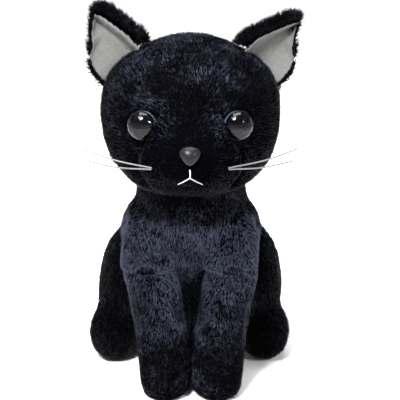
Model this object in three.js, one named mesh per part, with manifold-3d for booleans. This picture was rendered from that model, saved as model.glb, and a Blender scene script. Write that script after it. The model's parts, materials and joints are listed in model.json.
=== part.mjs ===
// A sitting plush cat, millimetres, +Z up, facing -Y. The origin is on the floor under the middle of the cat.
// Every fabric part is a skin of sewn panels over its own stuffing. The head, ears, forelegs and tail are
// separate parts that turn at their seams, so each of them is rounded about the seam that it turns on.
import * as THREE from "three";
import { mergeVertices } from "three/addons/utils/BufferGeometryUtils.js";
import Module from "manifold-3d";

const wasm = await Module();
wasm.setup();

// ---- driving dimensions ----
const SKIN = 2.2; // plush fabric, backing and pile together
const SEAM = 0.3; // open line between two neighbouring pieces
const PLAY = 0.6; // room between a part that turns and its seat

const HEAD = {
  centre: new THREE.Vector3(0, -20, 179),
  halfWide: 55.5,
  halfDeep: 47,
  crown: 49, // centre to the top
  chin: 49, // centre to the underside
  squareness: 2.4, // 2 is an ellipsoid, more is boxier
};
const MUZZLE = {
  z: 160,
  halfWide: 31,
  halfTall: 20,
  out: 20.5, // how far it stands out of the face
  fade: 1.5, // how quickly it falls off at its edge
  panelHalfTall: 16,
  panelBack: -40, // y that the muzzle panel is cut back to
};
const FOREHEAD = { halfWide: 15, bottom: 172 };
const HEAD_BACK_SEAM = -8; // y of the seam that runs over the head behind the ears

const NECK = {
  pivot: new THREE.Vector3(0, -12, 121),
  ball: 36,
  play: 1.3, // room round the ball, enough for its flat facets to pass those of its socket
  threadZ: 134,
  thread: 0.7, // radius
};

const EYE = {
  x: 28,
  z: 181,
  radius: 9,
  bulge: 5.5,
  disc: 1.2, // thickness of the painted disc behind the lens
  sunk: 1.2,
  post: 2.2, // radius
  postLength: 12,
  washer: 7.5, // radius
  washerDepth: 6.5,
};
const NOSE = {
  z: 168.5,
  halfWide: 6.7,
  halfTall: 6,
  middle: 0.9, // width half way up it, as a share of halfWide
  taper: 0.45, // how much wider its top is than its middle, as a share of halfWide
  bulge: 4.2,
  post: 2, // radius
  postLength: 12,
  washer: 7, // radius
  washerDepth: 6.5,
};
const WASHER_THICK = 1;
const BUTTON_REACH = 5; // how far in front of a button nothing else may stand
const MOUTH = {
  top: 160.8,
  split: 156.8,
  armTop: 155.8,
  armBend: 154,
  end: 152.8,
  armStart: 1.2, // x
  halfWide: 6.7,
  thread: 0.55, // radius
};
const WHISKER = {
  rootX: 24.5,
  rootZ: 158.5,
  radius: 0.35,
  apart: 0.6,
  sag: 1.5,
  upperTip: new THREE.Vector3(63, -62, 167),
  lowerTip: new THREE.Vector3(60, -64, 160),
};

const EAR = {
  root: new THREE.Vector3(37, -14, 197),
  tall: 51,
  halfThick: 1.2,
  liningHalfThick: 0.8,
  rim: 3.4, // how far the lining ends inside the edge
  cup: 0.011, // how quickly the sides curve forward, per millimetre from the middle
  leanLeft: 26, // degrees
  leanRight: 21, // degrees
  turn: 10, // degrees
  gap: 1.2, // between the ear and the head
};

const SHOULDER = { pivot: new THREE.Vector3(28, -24, 98), seamX: 22, swing: 12 }; // swing in degrees
const HIP = { x: 40, y: 40, z: 43, halfWide: 22, halfDeep: 36, halfTall: 44 };
const CHEST = { halfWide: 26, back: 16 };
const SEAT = { rim: 5.5, y: 54, bagHalfWide: 20, bagHalfDeep: 12, bagTall: 9 };
const TAIL = {
  radius: 9,
  tip: 7.6, // radius
  pivot: new THREE.Vector3(4, 70, 13.5),
  swing: 30, // degrees
  play: 0.9,
  seamZ: 10,
};
const CHIN = { halfWide: 22 };

const FINE = 16; // faces round a large form
const COARSE = 10; // faces round a limb

// ---- colours ----
const PLUSH = { color: 0x12131a, roughness: 0.95, metalness: 0 };
const FLEECE = { color: 0x8c8d8c, roughness: 0.95, metalness: 0 };
const FILLING = { color: 0xe9e7e0, roughness: 1, metalness: 0 };
const BAG = { color: 0xcfcabc, roughness: 0.9, metalness: 0 };
const THREAD = { color: 0xd8d8da, roughness: 0.7, metalness: 0 };
const DARK_THREAD = { color: 0x0c0c10, roughness: 0.8, metalness: 0 };
const CLEAR = { color: 0xd8e2ea, roughness: 0.04, metalness: 0 };
const BLACK_PLASTIC = { color: 0x05060a, roughness: 0.15, metalness: 0 };
const NOSE_PLASTIC = { color: 0x2c2b33, roughness: 0.35, metalness: 0 };
const WHITE_PLASTIC = { color: 0xe8e8ea, roughness: 0.4, metalness: 0 };

// ---- solids ----
const v = (x, y, z) => new THREE.Vector3(x, y, z);
const mirrored = (point, side) => v(point.x * side, point.y, point.z);

/** A closed solid from a closed geometry. */
function solid(geometry) {
  const bare = geometry.index ? geometry.toNonIndexed() : geometry.clone();
  bare.deleteAttribute("normal");
  bare.deleteAttribute("uv");
  const merged = mergeVertices(bare, 1e-3);
  const vertProperties = new Float32Array(merged.getAttribute("position").array);
  const triVerts = new Uint32Array(merged.index.array);
  return new wasm.Manifold(new wasm.Mesh({ numProp: 3, vertProperties, triVerts }));
}

/** The largest connected piece of a solid: a cut can leave slivers, and they are dropped. */
function largest(body) {
  return body.decompose().sort((a, b) => b.volume() - a.volume())[0];
}

function geometryOf(body) {
  const cut = largest(body).getMesh();
  const geometry = new THREE.BufferGeometry();
  geometry.setAttribute("position", new THREE.BufferAttribute(new Float32Array(cut.vertProperties), 3));
  geometry.setIndex(new THREE.BufferAttribute(new Uint32Array(cut.triVerts), 1));
  geometry.computeVertexNormals();
  return geometry;
}

/** A ball whose every point is moved by place(point); the poles are at the top and bottom. */
function form(around, levels, place) {
  const ball = new THREE.SphereGeometry(1, around, levels);
  ball.rotateX(Math.PI / 2);
  const points = ball.getAttribute("position");
  const point = new THREE.Vector3();
  for (let i = 0; i < points.count; i += 1) {
    place(point.fromBufferAttribute(points, i));
    points.setXYZ(i, point.x, point.y, point.z);
  }
  return ball;
}

/** A ball of one radius. */
function ball(centre, radius) {
  return solid(form(FINE, 10, (p) => p.multiplyScalar(radius).add(centre)));
}

/**
 * A soft limb along a smooth line. Each station is [x, y, z, half width, half depth], from one end to the
 * other. The width lies along side, and the ends are blunt. grow makes the limb fatter, or thinner if negative.
 */
function limb(stations, { grow = 0, around = COARSE, levels, blunt = 2.6, side = v(1, 0, 0), shape }) {
  const line = new THREE.CatmullRomCurve3(stations.map(([x, y, z]) => v(x, y, z)));
  const sizes = new THREE.CatmullRomCurve3(stations.map(([, , , across, deep]) => v(across, deep, 0)));
  const slip = -grow / line.getLength();
  return solid(
    form(around, levels, (p) => {
      const level = THREE.MathUtils.clamp(p.z, -1, 1);
      const t = slip + (1 - 2 * slip) * ((level + 1) / 2);
      const inside = THREE.MathUtils.clamp(t, 0, 1);
      const size = sizes.getPoint(inside);
      const along = line.getTangent(inside);
      const deep = along.clone().cross(side).normalize();
      const wide = deep.clone().cross(along);
      const cap = (1 - Math.abs(level) ** blunt) ** (1 / blunt);
      const angle = Math.atan2(p.y, p.x);
      const at = line.getPoint(inside).addScaledVector(along, (t - inside) * line.getLength());
      at.addScaledVector(wide, Math.cos(angle) * cap * (size.x + grow));
      at.addScaledVector(deep, Math.sin(angle) * cap * (size.y + grow));
      p.copy(at);
      if (shape) shape(p);
    }),
  );
}

/** A block between two corners. */
function block(low, high) {
  const size = v(high.x - low.x, high.y - low.y, high.z - low.z);
  const box = new THREE.BoxGeometry(size.x, size.y, size.z);
  box.translate(low.x + size.x / 2, low.y + size.y / 2, low.z + size.z / 2);
  return solid(box);
}

/** An oval column along Y that ends at the back of the muzzle panel, used to cut that panel out. */
function ovalColumn(z, halfWide, halfTall) {
  const oval = new THREE.Shape();
  oval.absellipse(0, 0, halfWide, halfTall, 0, Math.PI * 2);
  const column = new THREE.ExtrudeGeometry(oval, { depth: BIG, bevelEnabled: false, curveSegments: 8 });
  column.rotateX(Math.PI / 2);
  column.translate(0, MUZZLE.panelBack, z);
  return solid(column);
}

/** A round thread or whisker along a smooth line. */
function strand(points, radius, steps = 4) {
  const round = new THREE.Shape();
  round.absarc(0, 0, radius, 0, Math.PI * 2);
  const extrudePath = new THREE.CatmullRomCurve3(points);
  const settings = { extrudePath, steps, curveSegments: 3, bevelEnabled: false };
  return solid(new THREE.ExtrudeGeometry(round, settings));
}

/** A turned piece: its axis is +Z, and its profile is a list of [radius, z] from bottom to top. */
function turned(profile) {
  const points = profile.map(([radius, z]) => new THREE.Vector2(radius, z));
  return new THREE.LatheGeometry(points, 12).rotateX(Math.PI / 2);
}

const BIG = 400; // further than any part of the cat
/** Everything between two values along one axis: 0 is x, 1 is y and 2 is z. */
function slab(axis, from, to) {
  return block(v(-BIG, -BIG, -BIG).setComponent(axis, from), v(BIG, BIG, BIG).setComponent(axis, to));
}
const leftHalf = () => slab(0, SEAM / 2, BIG);
const flip = (side) => new THREE.Matrix4().makeScale(side, 1, 1).toArray();
const SIDES = [["left", 1], ["right", -1]];

// ---- the scene ----
const cat = new THREE.Group();

function add(name, geometry, look) {
  const mesh = new THREE.Mesh(geometry, new THREE.MeshStandardMaterial(look));
  mesh.name = name;
  cat.add(mesh);
  return mesh;
}

/** Cuts a skin into panels: each takes what its cutter covers, and leaves a seam to the next. */
function addPanels(skin, panels) {
  let rest = skin;
  for (const [name, cutter] of panels) {
    add(name, geometryOf(cutter ? rest.intersect(cutter(0)) : rest), PLUSH);
    if (cutter) rest = rest.subtract(cutter(SEAM));
  }
}

// ---- forms ----
/** How far the muzzle stands out of the face at a place across and up it. */
function muzzleOut(x, z, grow) {
  const across = x / (MUZZLE.halfWide + grow);
  const up = (z - MUZZLE.z) / (MUZZLE.halfTall + grow);
  return MUZZLE.out * Math.exp(-((across ** 2 + up ** 2) ** MUZZLE.fade));
}

function headForm(grow) {
  const n = HEAD.squareness;
  return solid(
    form(FINE + 4, 12, (p) => {
      const span = (Math.abs(p.x) ** n + Math.abs(p.y) ** n + Math.abs(p.z) ** n) ** (-1 / n);
      const tall = p.z > 0 ? HEAD.crown : HEAD.chin;
      p.multiplyScalar(span).multiply(v(HEAD.halfWide + grow, HEAD.halfDeep + grow, tall + grow));
      const facing = THREE.MathUtils.smoothstep(-p.y / HEAD.halfDeep, 0, 0.5);
      p.add(HEAD.centre);
      p.y -= facing * muzzleOut(p.x, p.z, grow);
    }),
  );
}

/** The front of the face at a place across and up it. */
function onFace(x, z, lift = 0) {
  const n = HEAD.squareness;
  const up = z - HEAD.centre.z;
  const tall = up > 0 ? HEAD.crown : HEAD.chin;
  const rest = 1 - Math.abs(x / HEAD.halfWide) ** n - Math.abs(up / tall) ** n;
  const deep = HEAD.halfDeep * rest ** (1 / n);
  return v(x, HEAD.centre.y - deep - muzzleOut(x, z, 0) - lift, z);
}

const torsoForm = (grow) =>
  limb(
    [
      [0, 56, -14, 36, 26],
      [0, 50, 14, 40, 27],
      [0, 40, 36, 43, 31],
      [0, 22, 60, 45, 34],
      [0, 2, 88, 45, 33],
      [0, -10, 110, 47, 30],
      [0, -12, 129, 41, 27],
    ],
    { grow, around: FINE, levels: 10, blunt: 4 },
  )
    .add(ball(NECK.pivot, NECK.ball + grow))
    .subtract(slab(2, -BIG, -grow));

const forelegForm = (side, grow) =>
  limb(
    [
      [17.4, -38, -8, 17, 20],
      [17.4, -38, 10, 17, 20.5],
      [17.8, -36, 27, 16.6, 18.5],
      [19.2, -33, 44, 16.6, 16.5],
      [22, -30, 60, 17, 16.5],
      [26, -26, 78, 17.6, 17],
      [28, -24, 98, 18.5, 18.5],
      [29, -22, 118, 16, 17],
    ].map(([x, ...others]) => [x * side, ...others]),
    { grow, levels: 9, blunt: 4 },
  ).subtract(slab(2, -BIG, -grow));

const haunchForm = (side, grow) => {
  const size = v(HIP.halfWide + grow, HIP.halfDeep + grow, HIP.halfTall + grow);
  return solid(form(COARSE + 2, 9, (p) => p.multiply(size).add(v(HIP.x * side, HIP.y, HIP.z))));
};

const hindFootForm = (side, grow) =>
  limb(
    [
      [50, 2, 14.5, 13.5, 14.5],
      [50.5, 12, 16.5, 16, 17.5],
      [50, 28, 20, 16.5, 21],
      [46, 46, 22, 16, 22],
    ].map(([x, ...others]) => [x * side, ...others]),
    { grow, levels: 6 },
  );

const hindLegForm = (side, grow) =>
  haunchForm(side, grow).add(hindFootForm(side, grow)).subtract(slab(2, -BIG, -grow));

const tailForm = (grow) =>
  limb(
    [
      [-1, 65, 14, TAIL.radius, TAIL.radius],
      [14, 78, 11.5, TAIL.radius, TAIL.radius],
      [32, 82, 10, TAIL.radius, TAIL.radius],
      [49, 79, 9.2, 8.4, 8.4],
      [61, 69, 8.4, TAIL.tip, TAIL.tip],
    ],
    { grow, levels: 9, blunt: 2.2, side: v(0, 0, 1) },
  );

/** A leaf of an ear, placed on the head: cupped, so that its edges come forward. */
function earForm(side, { narrower = 0, shorter = 0, halfThick, forward = 0 }) {
  const leaf = limb(
    [
      [0, 0, -14, 22.5, halfThick],
      [0, 0, 4, 22.8, halfThick],
      [0, 0, 15, 21.5, halfThick],
      [0, 0, 27, 17.8, halfThick],
      [0, 0, 38, 13, halfThick],
      [0, 0, EAR.tall - shorter, 8, halfThick],
    ].map(([x, y, z, across, deep]) => [x, y, z, across - narrower, deep]),
    { levels: 9, blunt: 4, shape: (p) => p.setY(p.y - forward - EAR.cup * p.x * p.x) },
  );
  const lean = THREE.MathUtils.degToRad(side > 0 ? EAR.leanLeft : EAR.leanRight);
  const turn = THREE.MathUtils.degToRad(EAR.turn);
  const facing = new THREE.Quaternion().setFromEuler(new THREE.Euler(0, lean * side, turn * side));
  const seat = new THREE.Matrix4().compose(mirrored(EAR.root, side), facing, v(1, 1, 1));
  return leaf.transform(seat.toArray()).subtract(headForm(EAR.gap));
}

/** The joined copies of a part at the angles that it swings through, about a line through a point. */
function sweep(body, pivot, axis, degrees) {
  return degrees.reduce((all, angle) => {
    const turn = new THREE.Matrix4().makeRotationAxis(axis, THREE.MathUtils.degToRad(angle));
    const move = new THREE.Matrix4().makeTranslation(pivot).multiply(turn);
    move.multiply(new THREE.Matrix4().makeTranslation(pivot.clone().negate()));
    const swung = body.transform(move.toArray());
    return all ? all.add(swung) : swung;
  }, null);
}

// ---- room that each moving part needs ----
const bothSides = (make) => make(1).add(make(-1));
const forelegRoom = bothSides((side) =>
  sweep(forelegForm(side, PLAY), mirrored(SHOULDER.pivot, side), v(1, 0, 0), [0, -SHOULDER.swing]),
);
const tailRoom = sweep(tailForm(TAIL.play), TAIL.pivot, v(0, 0, 1), [0, TAIL.swing / 2, TAIL.swing]);
const hindLegRoom = bothSides((side) => hindLegForm(side, SEAM));
const neckSocket = ball(NECK.pivot, NECK.ball + NECK.play);

// ---- neck thread ----
function neckRing(radius) {
  const up = NECK.threadZ - NECK.pivot.z;
  const round = Math.sqrt(NECK.ball ** 2 - up ** 2) - NECK.thread;
  const ring = new THREE.TorusGeometry(round, radius, 4, 24);
  ring.translate(NECK.pivot.x, NECK.pivot.y, NECK.threadZ - NECK.thread / 2);
  return ring;
}
add("neck_thread", neckRing(NECK.thread), DARK_THREAD);

// ---- torso ----
const outside = forelegRoom.add(tailRoom).add(hindLegRoom).add(solid(neckRing(NECK.thread + SEAM)));
const chestCutter = (gap) => {
  const x = CHEST.halfWide + gap;
  return block(v(-x, -BIG, -BIG), v(x, CHEST.back + gap, BIG));
};
addPanels(torsoForm(0).subtract(torsoForm(-SKIN)).subtract(outside), [
  ["seat_panel", (gap) => slab(2, -BIG, SEAT.rim + gap)],
  ["chest_panel", chestCutter],
  ["back_panel_left", leftHalf],
  ["back_panel_right", null],
]);

const pelletBag = (grow) => {
  const size = v(SEAT.bagHalfWide + grow, SEAT.bagHalfDeep + grow, SEAT.bagTall + grow);
  const centre = v(0, SEAT.y, SKIN + SEAM);
  const whole = solid(form(COARSE, 8, (p) => p.multiply(size).add(centre)));
  return whole.subtract(slab(2, -BIG, SKIN + SEAM - grow));
};
add("pellet_bag", geometryOf(pelletBag(0)), BAG);
add(
  "torso_stuffing",
  geometryOf(torsoForm(-SKIN - SEAM).subtract(outside).subtract(pelletBag(SEAM))),
  FILLING,
);

// ---- hind legs, sewn to the torso ----
for (const [name, side] of SIDES) {
  const torso = torsoForm(SEAM).add(tailRoom);
  const skin = hindLegForm(side, 0).subtract(hindLegForm(side, -SKIN)).subtract(torso);
  addPanels(skin, [
    [`hind_leg_${name}_outer_panel`, (gap) => slab(0, HIP.x - gap, BIG).transform(flip(side))],
    [`hind_leg_${name}_inner_panel`, null],
  ]);
  add(`hind_leg_${name}_stuffing`, geometryOf(hindLegForm(side, -SKIN - SEAM).subtract(torso)), FILLING);
}

// ---- forelegs ----
for (const [name, side] of SIDES) {
  addPanels(forelegForm(side, 0).subtract(forelegForm(side, -SKIN)), [
    [`foreleg_${name}_outer_panel`, (gap) => slab(0, SHOULDER.seamX - gap, BIG).transform(flip(side))],
    [`foreleg_${name}_inner_panel`, null],
  ]);
  add(`foreleg_${name}_stuffing`, geometryOf(forelegForm(side, -SKIN - SEAM)), FILLING);
}

// ---- tail ----
addPanels(tailForm(0).subtract(tailForm(-SKIN)), [
  ["tail_upper_panel", (gap) => slab(2, TAIL.seamZ - gap, BIG)],
  ["tail_lower_panel", null],
]);
add("tail_stuffing", geometryOf(tailForm(-SKIN - SEAM)), FILLING);

// ---- eyes, nose and their washers ----
/** The place and direction of something fixed on the face: its own +Z points out of the face. */
function faceSeat(x, z, sunk) {
  const at = onFace(x, z);
  const across = onFace(x + 1, z).sub(at);
  const up = onFace(x, z + 1).sub(at);
  const out = across.cross(up).normalize();
  const turn = new THREE.Quaternion().setFromUnitVectors(v(0, 0, 1), out);
  return new THREE.Matrix4().compose(at.addScaledVector(out, -sunk), turn, v(1, 1, 1));
}

function addOnFace(name, geometry, look, seat) {
  add(name, geometry, look).applyMatrix4(seat);
}

const washer = (size) =>
  turned([
    [size.post + SEAM, -size.washerDepth - WASHER_THICK],
    [size.washer, -size.washerDepth - WASHER_THICK],
    [size.washer, -size.washerDepth],
    [size.post + SEAM, -size.washerDepth],
    [size.post + SEAM, -size.washerDepth - WASHER_THICK],
  ]);

/** The room that a button on a post, and the washer behind it, take out of the head. */
const buttonRoom = (size, radius) =>
  solid(
    turned([
      [0, -size.postLength - SEAM],
      [size.post + SEAM, -size.postLength - SEAM],
      [size.post + SEAM, -size.washerDepth - WASHER_THICK - SEAM],
      [size.washer + SEAM, -size.washerDepth - WASHER_THICK - SEAM],
      [size.washer + SEAM, -size.washerDepth + SEAM],
      [size.post + SEAM, -size.washerDepth + SEAM],
      [size.post + SEAM, -EYE.disc - SEAM],
      [radius + SEAM, -EYE.disc - SEAM],
      [radius + SEAM, size.bulge + BUTTON_REACH],
      [0, size.bulge + BUTTON_REACH],
    ]),
  );

let faceRoom = null;
for (const [name, side] of SIDES) {
  const seat = faceSeat(EYE.x * side, EYE.z, EYE.sunk);
  const dome = turned([
    [0, SEAM],
    [EYE.radius, SEAM],
    [EYE.radius * 0.98, EYE.bulge * 0.22],
    [EYE.radius * 0.86, EYE.bulge * 0.56],
    [EYE.radius * 0.64, EYE.bulge * 0.82],
    [EYE.radius * 0.34, EYE.bulge * 0.96],
    [0, EYE.bulge],
  ]);
  const iris = turned([
    [0, -EYE.postLength],
    [EYE.post, -EYE.postLength],
    [EYE.post, -EYE.disc],
    [EYE.radius, -EYE.disc],
    [EYE.radius, 0],
    [0, 0],
  ]);
  addOnFace(`eye_${name}_lens`, dome, CLEAR, seat);
  addOnFace(`eye_${name}_iris`, iris, BLACK_PLASTIC, seat);
  addOnFace(`eye_${name}_washer`, washer(EYE), WHITE_PLASTIC, seat);
  const room = buttonRoom(EYE, EYE.radius).transform(seat.toArray());
  faceRoom = faceRoom ? faceRoom.add(room) : room;
}

const noseSeat = faceSeat(0, NOSE.z, 0);
const noseButton = form(12, 6, (p) => {
  const taper = NOSE.middle + NOSE.taper * p.y;
  p.set(p.x * NOSE.halfWide * taper, p.y * NOSE.halfTall, Math.max(p.z, 0) * NOSE.bulge);
});
const nosePost = turned([
  [0, -NOSE.postLength],
  [NOSE.post, -NOSE.postLength],
  [NOSE.post, NOSE.bulge / 2],
  [0, NOSE.bulge / 2],
]);
addOnFace("nose", geometryOf(solid(noseButton).add(solid(nosePost))), NOSE_PLASTIC, noseSeat);
addOnFace("nose_washer", washer(NOSE), WHITE_PLASTIC, noseSeat);
faceRoom = faceRoom.add(buttonRoom(NOSE, NOSE.post).transform(noseSeat.toArray()));

// ---- head ----
const headOpenings = neckSocket.add(faceRoom);
const behindEars = (gap) => slab(1, HEAD_BACK_SEAM - gap, BIG);
const foreheadCutter = (gap) => {
  const x = FOREHEAD.halfWide + gap;
  return block(v(-x, -BIG, FOREHEAD.bottom - gap), v(x, BIG, BIG));
};
const chinCutter = (gap) => {
  const x = CHIN.halfWide + gap;
  return block(v(-x, -BIG, -BIG), v(x, BIG, MUZZLE.z + gap));
};
const muzzleCutter = (gap) => ovalColumn(MUZZLE.z, MUZZLE.halfWide + gap, MUZZLE.panelHalfTall + gap);
addPanels(headForm(0).subtract(headForm(-SKIN)).subtract(headOpenings), [
  ["head_back_left_panel", (gap) => behindEars(gap).intersect(slab(0, SEAM / 2 - gap, BIG))],
  ["head_back_right_panel", (gap) => behindEars(gap).intersect(slab(0, -BIG, SEAM / 2 + gap))],
  ["forehead_panel", foreheadCutter],
  ["muzzle_panel", muzzleCutter],
  ["chin_panel", chinCutter],
  ["face_left_panel", leftHalf],
  ["face_right_panel", null],
]);
add("head_stuffing", geometryOf(headForm(-SKIN - SEAM).subtract(headOpenings)), FILLING);

// ---- mouth: three straight stitches ----
const threadLift = MOUTH.thread + SEAM;
const stitch = (points) => geometryOf(strand(points.map(([x, z]) => onFace(x, z, threadLift)), MOUTH.thread));
const stitchMiddle = (MOUTH.top + MOUTH.split) / 2;
add("mouth_stitch_centre", stitch([[0, MOUTH.top], [0, stitchMiddle], [0, MOUTH.split]]), THREAD);
for (const [name, side] of SIDES) {
  const middle = (MOUTH.armStart + MOUTH.halfWide) / 2;
  const points = [
    [MOUTH.armStart * side, MOUTH.armTop],
    [middle * side, MOUTH.armBend],
    [MOUTH.halfWide * side, MOUTH.end],
  ];
  add(`mouth_stitch_${name}`, stitch(points), THREAD);
}

// ---- whiskers ----
for (const [name, side] of SIDES) {
  const root = onFace(WHISKER.rootX * side, WHISKER.rootZ, SEAM + WHISKER.radius);
  for (const [place, tip] of [["upper", WHISKER.upperTip], ["lower", WHISKER.lowerTip]]) {
    const start = root.clone().add(v(0, 0, place === "upper" ? WHISKER.apart : -WHISKER.apart));
    const end = mirrored(tip, side);
    const middle = start.clone().lerp(end, 0.5).add(v(0, 0, -WHISKER.sag));
    add(`whisker_${name}_${place}`, geometryOf(strand([start, middle, end], WHISKER.radius)), WHITE_PLASTIC);
  }
}

// ---- ears ----
for (const [name, side] of SIDES) {
  const outer = { halfThick: EAR.halfThick };
  const forward = EAR.halfThick + SEAM + EAR.liningHalfThick;
  const lining = { halfThick: EAR.liningHalfThick, narrower: EAR.rim, shorter: EAR.rim, forward };
  add(`ear_${name}_outer`, geometryOf(earForm(side, outer)), PLUSH);
  add(`ear_${name}_lining`, geometryOf(earForm(side, lining)), FLEECE);
}

// The nose and the tail reach equally far from the origin, and so do the two hind feet.
const bounds = new THREE.Box3().setFromObject(cat, true);
cat.position.set(-(bounds.min.x + bounds.max.x) / 2, -(bounds.min.y + bounds.max.y) / 2, -bounds.min.z);

export default cat;
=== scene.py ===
"""A sitting plush cat in short black plush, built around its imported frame. All lengths are metres."""
import json
import math

import bmesh
import bpy
import numpy as np
from mathutils import Matrix, Vector
from mathutils.bvhtree import BVHTree


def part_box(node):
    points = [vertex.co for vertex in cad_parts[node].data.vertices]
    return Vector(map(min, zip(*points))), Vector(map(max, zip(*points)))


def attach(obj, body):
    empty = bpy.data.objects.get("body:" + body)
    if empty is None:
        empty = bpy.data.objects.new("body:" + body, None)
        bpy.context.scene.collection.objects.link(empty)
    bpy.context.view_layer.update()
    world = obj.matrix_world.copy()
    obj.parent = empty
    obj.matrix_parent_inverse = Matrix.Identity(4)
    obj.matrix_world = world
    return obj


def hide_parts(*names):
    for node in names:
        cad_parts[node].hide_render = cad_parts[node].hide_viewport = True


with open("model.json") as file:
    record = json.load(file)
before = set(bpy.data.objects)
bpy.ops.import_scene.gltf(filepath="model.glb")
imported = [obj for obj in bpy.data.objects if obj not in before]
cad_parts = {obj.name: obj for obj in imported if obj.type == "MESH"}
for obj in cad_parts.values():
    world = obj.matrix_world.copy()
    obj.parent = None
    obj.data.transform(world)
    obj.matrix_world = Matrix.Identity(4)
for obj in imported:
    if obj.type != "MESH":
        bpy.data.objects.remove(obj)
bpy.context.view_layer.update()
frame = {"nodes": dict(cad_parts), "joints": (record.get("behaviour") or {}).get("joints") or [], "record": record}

MM = 0.001
SIDES = {"left": 1.0, "right": -1.0}  # the cat's left is +X

# ---- pile ----
UNDER_PILE = 0.6 * MM  # how far the knitted backing lies under the outer shape that the frame gives
PILE_CLASSES = 8  # shades of fibre
CLASS_INSET = 0.06  # keeps a fibre's U inside its class
ROOT_V, TIP_V = 0.05, 0.95  # where the root and the tip of a fibre are in its UV
ROOT_DEPTH = 0.4 * MM  # how far inside its skin a fibre starts
BURIED = 5 * MM  # pile that is deeper than this under another skin is left out
FIBRE_LENGTHS = (0.75, 1.15)  # shortest and longest, as a share of the pile's length
FIBRE_WIDTHS = (0.8, 1.2)  # narrowest and widest, as a share of the pile's width
FIBRE_SHADES = 0.12  # how much fibres side by side differ in shade
SHADE_PATCHES = ((15 * MM, 0.30), (5 * MM, 0.20), (1.6 * MM, 0.36))  # how wide, and how much they differ
BRUSH_PATCH, SMALL_BRUSH_PATCH, TILT_PATCH, CLUMP = 16 * MM, 6 * MM, 9 * MM, 2.2 * MM
TILT_SPREAD, FLATTEST, STEEPEST = 0.16, 0.95, 0.1
LEAST_RISE = 0.12  # no fibre lies flatter on its skin than this
HEAD_PILE, BODY_PILE, BACK_PILE = 2.9 * MM, 3.0 * MM, 3.5 * MM  # lengths
TORSO_BACK_PILE, FORELEG_PILE = 3.6 * MM, 2.9 * MM
EAR_PILE, FLEECE_PILE = 2.8 * MM, 0.9 * MM

# ---- stuffed forms ----
HEAD_VOXEL, TORSO_VOXEL = 3.2 * MM, 3.0 * MM
FORELEG_VOXEL, HIND_VOXEL, TAIL_VOXEL = 2.6 * MM, 3.0 * MM, 2.4 * MM
HEAD_ROUNDS, TORSO_ROUNDS, LEG_ROUNDS, TAIL_ROUNDS = 10, 26, 8, 6  # rounds of smoothing
PRESSURE = 4.0  # of the stuffing on the fabric
CLOTH_STEPS = 20
SEAM_HELD = 4 * MM  # fabric this near a seam doesn't move
HEAD_PUFF, TORSO_PUFF = 3 * MM, 2 * MM  # the most that the fabric moves
SEAT_SHIFT = 1.8 * MM  # the cat sits this far to its right
ELBOW = 80 * MM  # the shoulders are part of the torso skin down to here
SHOULDER_SLACK = 3.0 * MM  # how much thinner the foreleg is under the shoulder
PAW_WIDER = 2.4 * MM  # how much further the forepaws reach inwards than in the frame
HIND_FULLER = 0.4 * MM  # the backing of the hind legs stands this far outside the frame's shape

# ---- face: seams are (across, up from the nose) in mm ----
FOREHEAD_SEAM = [(24, 51), (28, 43), (28, 34), (22, 25), (21, 20)]
MUZZLE_SEAM = [(21, 20), (27, 9), (33, -5), (33, -17), (26, -27)]
SEAM_STOPS = 24
SEAM_WIDE, FOREHEAD_DEEP, MUZZLE_DEEP = 4.0 * MM, 2.2 * MM, 4.0 * MM
FACE_FULL = 2.4 * MM  # how much fuller the muzzle and the inner corners of the eyes are than in the frame
MUZZLE_REACH, CORNER_REACH = 20 * MM, 6.5 * MM
CORNER_IN, CORNER_UP = 9.5 * MM, 2 * MM  # from the middle of the eye to its inner corner
CROWN_FROM, CROWN_HALF = 22 * MM, 22 * MM  # rounded from this far above the nose, and this far out
CROWN_DROP, CROWN_ROUND, ROUND_LIMIT = 1.0 * MM, 1.8 * MM, 1.6  # how far down, and how much more to the sides
CHIN_DROP, CHIN_FROM = 2.6 * MM, 14 * MM  # the chin hangs lower, from this far below the nose
EYE_RADIUS = 8.7 * MM
EYE_BULGE = 6.4 * MM
EYE_DEPTH = 2.6 * MM  # from the middle of the lens back to its painted disc
EYE_DISC = 0.45 * MM  # the painted disc stands this far up in the back of the lens
EYE_WALL = 0.2 * MM  # the straight part of the lens, below its dome
EYE_FORWARD = 0.9  # each eye looks more to the front than the face does there
PUPIL_SHARE, RING_SHARE = 0.90, 0.985  # of the radius of the lens

# ---- ears ----
EAR_VOXEL, EAR_ROUNDS = 0.7 * MM, 3
EAR_CUP = 4.5 * MM  # how much deeper the middle of each ear is than in the frame
EAR_WIDER = 8.5 * MM  # how much further the inner edge of each ear reaches over the head than in the frame
EAR_NARROW = 14 * MM  # where an ear is narrower than this, its outer edge moves in as well
EAR_FOOT = 8 * MM  # from the fold joint down to the foot of the ear
EAR_TUCK, TUCK_REACH = 9 * MM, 10 * MM  # how deep the foot of an ear is pushed into the head, and how far up
FOOT_RISE, FOOT_UNDER = 6 * MM, 4 * MM  # how much of its lowest edge goes under the skin, and how deep
LEFT_TIP = (5.0 * MM, 0, -4.0 * MM)  # the left ear is bent outwards and down at its tip
TIP_FROM, TIP_TO = 222 * MM, 247 * MM  # heights between which that bend begins and ends
ROLL_REACH, ROLL_FORWARD, ROLL_THICK = 5 * MM, 4.2 * MM, 0.9 * MM  # the rolled inner edge
LINING_IN, LINING_OUT = 4.6 * MM, 1.4 * MM  # how far the lining ends inside the two edges
LINING_FOLD = 2.2 * MM
EAR_ROWS = 30  # how finely an ear is measured up its height

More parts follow.
